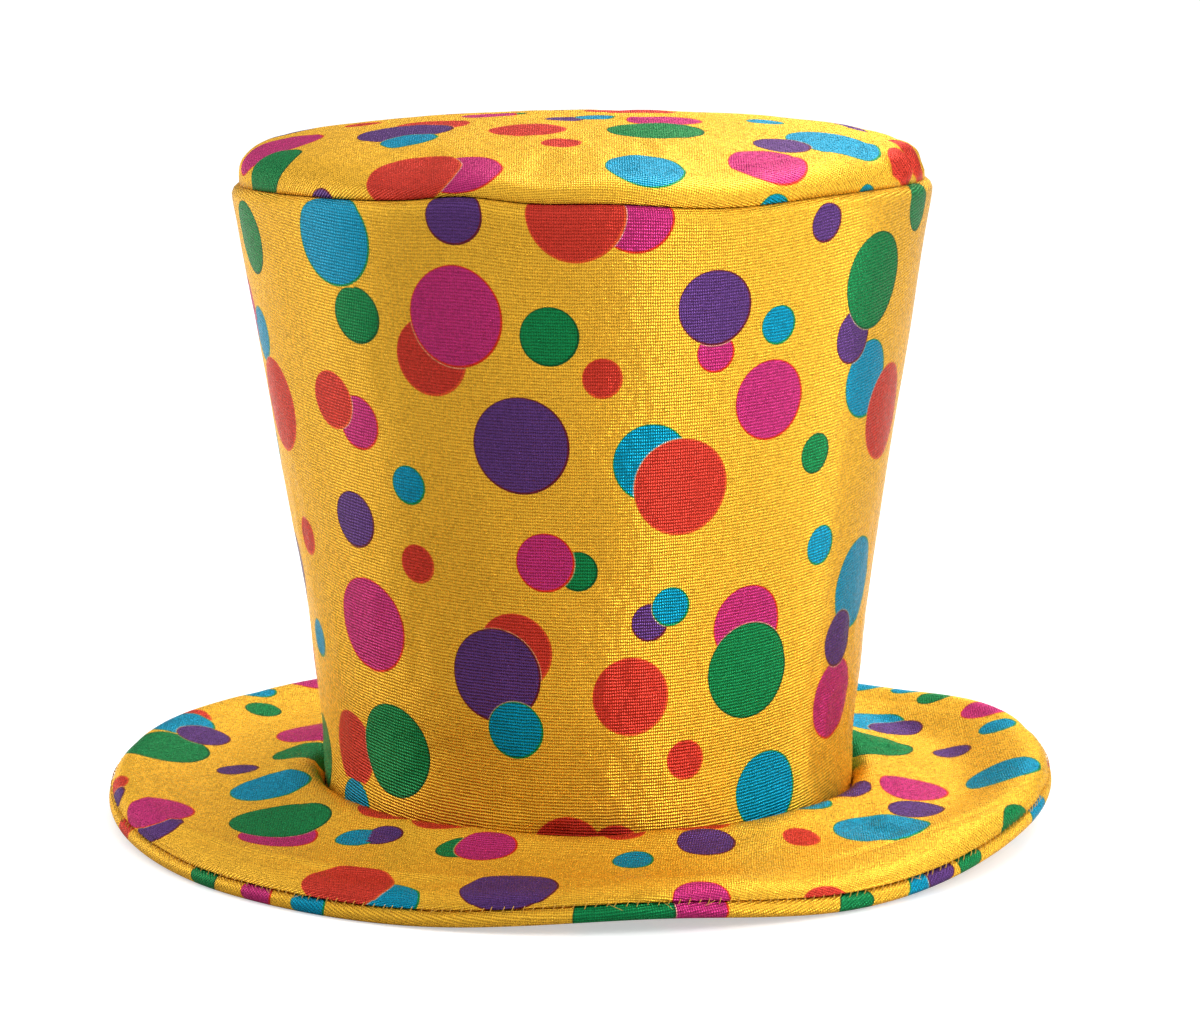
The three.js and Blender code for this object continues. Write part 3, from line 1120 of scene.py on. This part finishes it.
def crown_side(s):
    """The side: its outline turned round the axis with a rounded top edge, a wall's thickness inside, a
    shallow valley down the back seam, a tuck at the front of the foot, and a top edge that rises and
    falls with the tip seam."""
    outer = wall_outline(s)
    foot = s.brim_lower + GAP
    edge = arc((outer[-1, 0] - s.edge_round, s.seam_height - s.edge_round), s.edge_round, 0, 90)
    outside = np.vstack([outer, edge])
    inner = outer[::-1] - [s.wall_foam, 0]
    inner[:, 0] = np.maximum(inner[:, 0], s.opening / 2)
    runs = [
        evenly(outside, s.cell),
        evenly([outside[-1], (inner[0, 0], s.seam_height)], s.cell),
        evenly(np.vstack([(inner[0, 0], s.seam_height), inner]), s.cell * FOAM_CELL),
        evenly([inner[-1], outer[0]], s.cell),
    ]
    r, z, along = stacked(runs)
    shown = runs[0].shape[1] + 2
    r, z = r[:, None], z[:, None]
    azimuth = round_columns(s.crown_top / 2, s.cell)[None, :]
    covered = (np.arange(len(r)) < shown)[:, None]
    free = ease(z, foot, foot + FOOT_FADE)

    valley = s.back_pull * (1 - ease(np.abs(away(azimuth, 180)), 0, BACK_SEAM_SPREAD)) * free
    tuck = s.foot_tuck * np.exp(-((away(azimuth, TUCK_AT) / TUCK_SPREAD) ** 2))
    tuck = tuck * (1 - ease(z, foot, foot + TUCK_HIGH))
    sway = s.uneven * slow_waves(azimuth, z, 0.4) * free * ease(s.seam_height - z, 0, 0.02)
    wander = s.seam_wander * around(azimuth, SEAM_WAVES, "lift")
    wander = wander * ease(z, s.seam_height - s.seam_fade, s.seam_height)
    points = leaned(polar(r - valley + np.where(covered, sway - tuck, 0), azimuth, z + wander), s)
    sheet = slice(0, runs[0].shape[1])
    points[sheet] += settled(points[sheet], along[sheet], SIDE_SWELL)

    length = np.where(covered, along[:, None], z - foot)
    cloth = ring_places(azimuth, length + np.zeros_like(azimuth), s)
    heights = runs[0][1]

    def place(dot):
        return ring_places(dot["azimuth"], np.interp(dot["height"] * MM, heights, runs[0][2]), s)

    materials = shared("printed_satin_tricot", "open_cell_foam")
    hidden = np.arange(len(r) - 1) >= shown
    dots = placed(SIDE_DOTS + turned_about(SIDE_DOTS), place)
    return grid_piece("crown_side", points, cloth, materials, hidden.astype(int), dots, wraps=True)


def turned_about(dots):
    """The side's chart again for its back, from the other side of the hat and upside down, so that the
    repeat isn't seen. It stops short of the front's dots and of the back seam."""
    back = []
    for dot in dots:
        azimuth = away(180, dot["azimuth"] * BACK_NARROWED)
        if BACK_DOTS_FROM < abs(azimuth) < BACK_DOTS_TO:
            back.append(dict(dot, azimuth=azimuth, height=TURNED_HEIGHT - dot["height"]))
    return back


def brim_upper(s):
    """The upper layer: its table of thicknesses turned round the axis, rolled under at the rim seam,
    puckered there, and lifted with the rim's waves."""
    inner = s.opening / 2 + s.wall_foam + GAP
    outer = BRIM_RADIUS - s.brim_setback
    base = s.brim_lower + GAP
    curl = s.brim_setback
    share = np.linspace(0, 1, 400) ** 0.5
    full = through(share, column(UPPER_SECTIONS, "across"), column(UPPER_SECTIONS, "full"))
    over = np.stack([inner + (outer - inner) * share, base + s.brim_upper * full], -1)[::-1]
    under_end = (outer - curl, base)
    roll = arc((outer - curl, over[0, 1]), curl, -90, 0)
    roll[:, 1] = np.linspace(0, 1, len(roll)) ** 2 * (over[0, 1] - base) + base
    runs = [
        evenly([(inner, base), under_end], s.cell * FOAM_CELL),
        evenly(roll, s.cell / 4),
        evenly(over[over[:, 0] > outer - RIM_PART], s.cell / 3),
        evenly(over[over[:, 0] <= outer - RIM_PART], s.cell),
        evenly([over[-1], (inner, base)], s.cell),
    ]
    runs[3][:, 0] = [runs[2][0, -1], runs[2][1, -1], 0]
    r, z, along = stacked(runs)
    counts = np.cumsum([runs[0].shape[1]] + [run.shape[1] - 1 for run in runs[1:]])
    start = runs[0].shape[1] - 1
    r, z = r[:, None], z[:, None]
    azimuth = round_columns(BRIM_RADIUS, s.cell)[None, :]
    length = np.concatenate([[0], np.cumsum(np.hypot(np.diff(r[:, 0]), np.diff(z[:, 0])))])
    inwards = (length - length[start])[:, None]
    covered = ((np.arange(len(r)) >= start) & (np.arange(len(r)) < counts[3]))[:, None]
    slope = np.clip(inwards / (around(azimuth, RIM_SLOPES, "wide") * MM), 0, 1)
    lowered = base + s.brim_upper * (SLOPE_LOW + (1 - SLOPE_LOW) * slope)
    z = np.where(covered & (slope < 1), np.minimum(z, lowered), z)
    points = polar(r + np.zeros_like(azimuth), azimuth, z)
    free = ease(inwards, 0, SEAM_FREE) * ease(r - inner, 0, FOOT_FREE)
    push = crease(azimuth, inwards) + s.uneven * BRIM_UNEVEN * slow_waves(azimuth, r, 2.2)
    push = push - folds(azimuth, inwards, RIM_PUCKERS)
    push = np.where(covered, push * free, 0)
    points = lifted(points + normals_of(points) * push[..., None], s)
    sheet = slice(start, counts[3])
    points[sheet] += settled(points[sheet], inwards[sheet, 0], BRIM_SWELL)

    cloth = disc_places(azimuth, np.where(covered, outer - inwards, r) + np.zeros_like(azimuth))
    dots = placed(BRIM_DOTS, lambda dot: disc_places(dot["azimuth"], outer - dot["inwards"] * MM))
    materials = shared("printed_satin_tricot")
    return grid_piece("brim_upper", points, cloth, materials, np.zeros(len(r) - 1), dots, wraps=True)


def brim_lower(s):
    """The lower layer: flat underneath, with a half-round band at the rim, lifted with the rim's waves."""
    hole = s.opening / 2
    half = s.brim_lower / 2
    corner = s.brim_lower / 4
    rim = BRIM_RADIUS - half
    band = arc((rim, half), half, -90, 90)
    runs = [
        evenly(arc((hole + corner, corner), corner, 180, 270), s.cell / 2),
        evenly([(hole + corner, 0), (rim, 0)], s.cell * 1.5),
        evenly(band, s.cell / 3),
        evenly([(rim, s.brim_lower), (hole, s.brim_lower)], s.cell * FOAM_CELL),
        evenly([(hole, s.brim_lower), (hole, corner)], s.cell),
    ]
    r, z, along = stacked(runs)
    r, z = r[:, None], z[:, None]
    azimuth = round_columns(BRIM_RADIUS, s.cell)[None, :]
    points = polar(r + np.zeros_like(azimuth), azimuth, z)
    points = lifted(points, s)
    length = np.concatenate([[0], np.cumsum(np.hypot(np.diff(r[:, 0]), np.diff(z[:, 0])))])
    seam = length[sum(run.shape[1] - 1 for run in runs[:3])]
    down = np.clip(seam - length, 0, None)[:, None]
    reach = BRIM_RADIUS + half
    cloth = disc_places(azimuth, reach - down + np.zeros_like(azimuth))
    dots = placed(BAND_DOTS, lambda dot: disc_places(dot["azimuth"], reach - dot["down"] * MM))
    under = [dict(dot, azimuth=dot["azimuth"] + turn) for turn in UNDER_TURNS for dot in UNDER_DOTS]
    dots += placed(under, lambda dot: disc_places(dot["azimuth"], dot["radius"] * MM))
    materials = shared("printed_satin_tricot")
    return grid_piece("brim_lower", points, cloth, materials, np.zeros(len(r) - 1), dots, wraps=True)


# Sewing threads

THREAD_RADIUS = 0.17 * MM
STITCH_STEP = 1.15  # degrees between stitches of the rim seam, about 3.5 mm
STITCH_STRAY = 0.2  # degrees that a stitch strays from its place
STITCH_SLANT = 0.32  # degrees from a stitch's foot to its head
STITCH_LONG = 3.1  # mm
STITCH_SHARES = (0.45, 0.85)  # the shortest and longest stitch's share of that

# Loose ends at the rim seam. at: azimuth, long and hang: mm, sway: degrees that the end strays to the side.
LOOSE_ENDS = chart("at long hang sway", """
    -38 3 1.5 0.8
    -33 4.5 2 -1.4
    -29 2.5 0.5 0.6
    -22 4 2.5 1.2
    -16 3 1 -0.9
    3 5 2 1.6
    6.5 3 -0.5 -0.8
    9 4 2.5 1.1
    15 3 1.5 -1.3
    41 3.5 1 0.9
    -120 4 2 1.2
    150 4 2 -1.2
""")


def tubes(name, paths, radius):
    """Closed round threads along rows of points: six-sided rings across each path, narrowed at both ends."""
    along = np.gradient(paths, axis=1)
    along /= np.linalg.norm(along, axis=-1, keepdims=True)
    side = np.cross(along, [0.1, 0.2, 1.0])
    side /= np.linalg.norm(side, axis=-1, keepdims=True)
    turn = np.linspace(0, math.tau, 7)[:-1, None]
    ring = side[:, :, None] * np.cos(turn) + np.cross(along, side)[:, :, None] * np.sin(turn)
    width = np.full((paths.shape[1], 1, 1), radius)
    width[[0, -1]] *= 0.4
    points = paths[:, :, None] + width * ring
    index = np.arange(points.size // 3).reshape(points.shape[:3])
    following = np.roll(index, -1, axis=2)
    walls = np.stack([index[:, :-1], following[:, :-1], following[:, 1:], index[:, 1:]], -1)
    mesh = bpy.data.meshes.new(name)
    faces = walls.reshape(-1, 4).tolist() + index[:, 0, ::-1].tolist() + index[:, -1].tolist()
    mesh.from_pydata(points.reshape(-1, 3), [], faces)
    mesh.materials.append(*shared("spun_polyester_thread"))
    mesh.polygons.foreach_set("use_smooth", np.ones(len(mesh.polygons), bool))
    piece = bpy.data.objects.new(name, mesh)
    bpy.context.scene.collection.objects.link(piece)
    return piece


def rim_stitches(s):
    """The rim seam's thread: slanted stitches over the groove between the two layers, each a little longer
    or shorter than the last, and bowed out in the middle by a quarter of a millimetre."""
    chance = np.random.default_rng(5)
    azimuth = np.arange(-180, 180, STITCH_STEP)[:, None]
    azimuth = azimuth + chance.uniform(-STITCH_STRAY, STITCH_STRAY, azimuth.shape)
    share = np.linspace(0, 1, 7)[None, :]
    long = chance.uniform(*STITCH_SHARES, azimuth.shape)
    across = (share - 0.5) * long
    level = s.brim_lower + (0.4 + STITCH_LONG * across) * MM
    bow = 1 - (2 * share - 1) ** 2
    radius = BRIM_RADIUS - (0.95 + 0.5 * across - 0.25 * bow) * MM
    paths = polar(radius, azimuth + STITCH_SLANT * (share - 0.5), level)
    return tubes("rim_stitches", lifted(paths, s), THREAD_RADIUS)


def loose_ends(s):
    """Ends of thread that stick out of the rim seam and curl: each runs out and down with the square of its
    share, and strays to one side."""
    at, long, hang, sway = (column(LOOSE_ENDS, name)[:, None] for name in ("at", "long", "hang", "sway"))
    share = np.linspace(0, 1, 12)[None, :]
    radius = BRIM_RADIUS + (-1.5 + 0.55 * long * np.sin(2 * share)) * MM
    level = s.brim_lower + (0.6 - hang * share**2) * MM
    paths = polar(radius, at + sway * share**1.5, level)
    return tubes("loose_threads", lifted(paths, s), THREAD_RADIUS / 2)


# Camera and lights

LENS = 124.86  # mm on a sensor 36 mm wide
CAMERA_BACK = 1.535  # metres in front of the hat's axis
CAMERA_UP = 0.4053
CAMERA_DOWN = 10.83  # degrees below level
CAMERA_ASIDE = 0.278  # degrees to the right

ROOM_LIGHT = 0.16  # share of the white that is seen behind the hat
BURNT_OUT = 0.5  # what the camera sees of the floor beyond the light that it scatters
CEILING_LIGHT = 2.7  # watts for each square metre
CEILING_WIDE = 120  # degrees of the sky that it fills
FLOOR_SIDE = 12.0  # metres
HAT_MIDDLE = (0, 0, 0.13)  # what the lights face

# Soft boxes. azimuth: degrees, height, distance from the hat's axis, wide and high: metres, power: watts.
SOFT_BOXES = chart("name azimuth height distance wide high power", """
    key 62 0.6 1.5 0.26 1.5 21
    left -118 0.5 1.6 0.7 1.2 13
    back 152 1.1 1.0 0.9 0.5 14
""")


def soft_light(box):
    """A large white soft box that faces the hat from an azimuth and a height."""
    data = bpy.data.lights.new(box["name"], "AREA")
    data.shape = "RECTANGLE"
    data.size, data.size_y = box["wide"], box["high"]
    data.energy = box["power"]
    light = bpy.data.objects.new(box["name"], data)
    light.location = polar(box["distance"], box["azimuth"], box["height"])
    slope = math.atan2(box["distance"], box["height"] - HAT_MIDDLE[2])
    light.rotation_euler = (slope, 0, math.radians(box["azimuth"]))
    bpy.context.scene.collection.objects.link(light)


class HatOperator:
    """What every step shares."""

    bl_options = {"REGISTER", "UNDO"}

    def finish_piece(self, piece, node, slot, fill):
        """Ties a piece to the frame."""
        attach(piece, "root")
        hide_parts(node)
        return {"FINISHED"}


class OBJECT_OT_hat_stage(bpy.types.Operator, HatOperator):
    """Floor, lights, surroundings and the photo's camera"""

    bl_idname = "object.hat_stage"
    bl_label = "Stage"

    def execute(self, context):
        scene = context.scene
        scene.view_settings.view_transform = "Standard"
        mesh = bpy.data.meshes.new("floor")
        half = FLOOR_SIDE / 2
        corners = [(-half, -half, 0), (half, -half, 0), (half, half, 0), (-half, half, 0)]
        mesh.from_pydata(corners, [], [(0, 1, 2, 3)])
        mesh.materials.append(studio_white())
        floor = bpy.data.objects.new("floor", mesh)
        scene.collection.objects.link(floor)

        world = bpy.data.worlds.new("white room")
        world.use_nodes = True
        tree = world.node_tree
        tree.nodes.clear()
        seen = wire(tree, "ShaderNodeLightPath")
        light = wire(
            tree, "ShaderNodeMath", {0: seen, 1: 1 - ROOM_LIGHT, 2: ROOM_LIGHT}, operation="MULTIPLY_ADD")
        sky = wire(tree, "ShaderNodeBackground", {"Color": hex_colour("#FFFFFF"), "Strength": light})
        wire(tree, "ShaderNodeOutputWorld", {"Surface": sky})
        scene.world = world

        ceiling = bpy.data.lights.new("ceiling", "SUN")
        ceiling.energy = CEILING_LIGHT
        ceiling.angle = math.radians(CEILING_WIDE)
        lamp = bpy.data.objects.new("ceiling", ceiling)
        scene.collection.objects.link(lamp)
        for box in SOFT_BOXES:
            soft_light(box)

        data = bpy.data.cameras.new("camera")
        data.lens = LENS
        data.sensor_width = 36.0
        data.clip_start = 0.05
        camera = bpy.data.objects.new("camera", data)
        camera.location = (0, -CAMERA_BACK, CAMERA_UP)
        camera.rotation_euler = Euler([math.radians(a) for a in (90 - CAMERA_DOWN, 0, -CAMERA_ASIDE)])
        scene.collection.objects.link(camera)
        scene.camera = camera
        return {"FINISHED"}


class OBJECT_OT_hat_crown_side(bpy.types.Operator, HatOperator):
    """The side of the crown, a padded tube that widens upwards"""

    bl_idname = "object.hat_crown_side"
    bl_label = "Crown side"

    def execute(self, context):
        return self.finish_piece(crown_side(context.scene.hat_sizes), "crown_wall", "crown_cloth", 0.8)


class OBJECT_OT_hat_tip(bpy.types.Operator, HatOperator):
    """The domed, padded tip"""

    bl_idname = "object.hat_tip"
    bl_label = "Tip"

    def execute(self, context):
        return self.finish_piece(tip_panel(context.scene.hat_sizes), "tip", "tip_cloth", 0.8)


class OBJECT_OT_hat_threads(bpy.types.Operator, HatOperator):
    """Stitches and loose ends of the rim seam"""

    bl_idname = "object.hat_threads"
    bl_label = "Threads"

    def execute(self, context):
        for make in (rim_stitches, loose_ends):
            piece = make(context.scene.hat_sizes)
            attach(piece, "root")
            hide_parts("brim_top")
        return {"FINISHED"}


class OBJECT_OT_hat_brim(bpy.types.Operator, HatOperator):
    """Both layers of the brim"""

    bl_idname = "object.hat_brim"
    bl_label = "Brim"

    def execute(self, context):
        sizes = context.scene.hat_sizes
        self.finish_piece(brim_upper(sizes), "brim_top", "brim_cloth", 0.7)
        return self.finish_piece(brim_lower(sizes), "brim_underside", "brim_cloth", 0.7)


STEPS = (
    OBJECT_OT_hat_stage,
    OBJECT_OT_hat_crown_side,
    OBJECT_OT_hat_tip,
    OBJECT_OT_hat_brim,
    OBJECT_OT_hat_threads,
)


class VIEW3D_PT_hat(bpy.types.Panel):
    """The hat's steps, in order"""

    bl_label = "Foam clown top hat"
    bl_idname = "VIEW3D_PT_hat"
    bl_space_type = "VIEW_3D"
    bl_region_type = "UI"
    bl_category = "Hat"

    def draw(self, context):
        for step in STEPS:
            self.layout.operator(step.bl_idname, text=step.bl_label)


CLASSES = (HatSizes, HatInks, HatKnit, *STEPS, VIEW3D_PT_hat)


def register():
    for item in CLASSES:
        bpy.utils.register_class(item)
    bpy.types.Scene.hat_sizes = bpy.props.PointerProperty(type=HatSizes)
    bpy.types.Scene.hat_inks = bpy.props.PointerProperty(type=HatInks)
    bpy.types.Scene.hat_knit = bpy.props.PointerProperty(type=HatKnit)


def unregister():
    del bpy.types.Scene.hat_sizes, bpy.types.Scene.hat_inks, bpy.types.Scene.hat_knit
    for item in reversed(CLASSES):
        bpy.utils.unregister_class(item)


def main():
    register()
    for step in STEPS:
        family, name = step.bl_idname.split(".")
        getattr(getattr(bpy.ops, family), name)()
    bpy.context.view_layer.update()


if __name__ == "__main__":
    main()
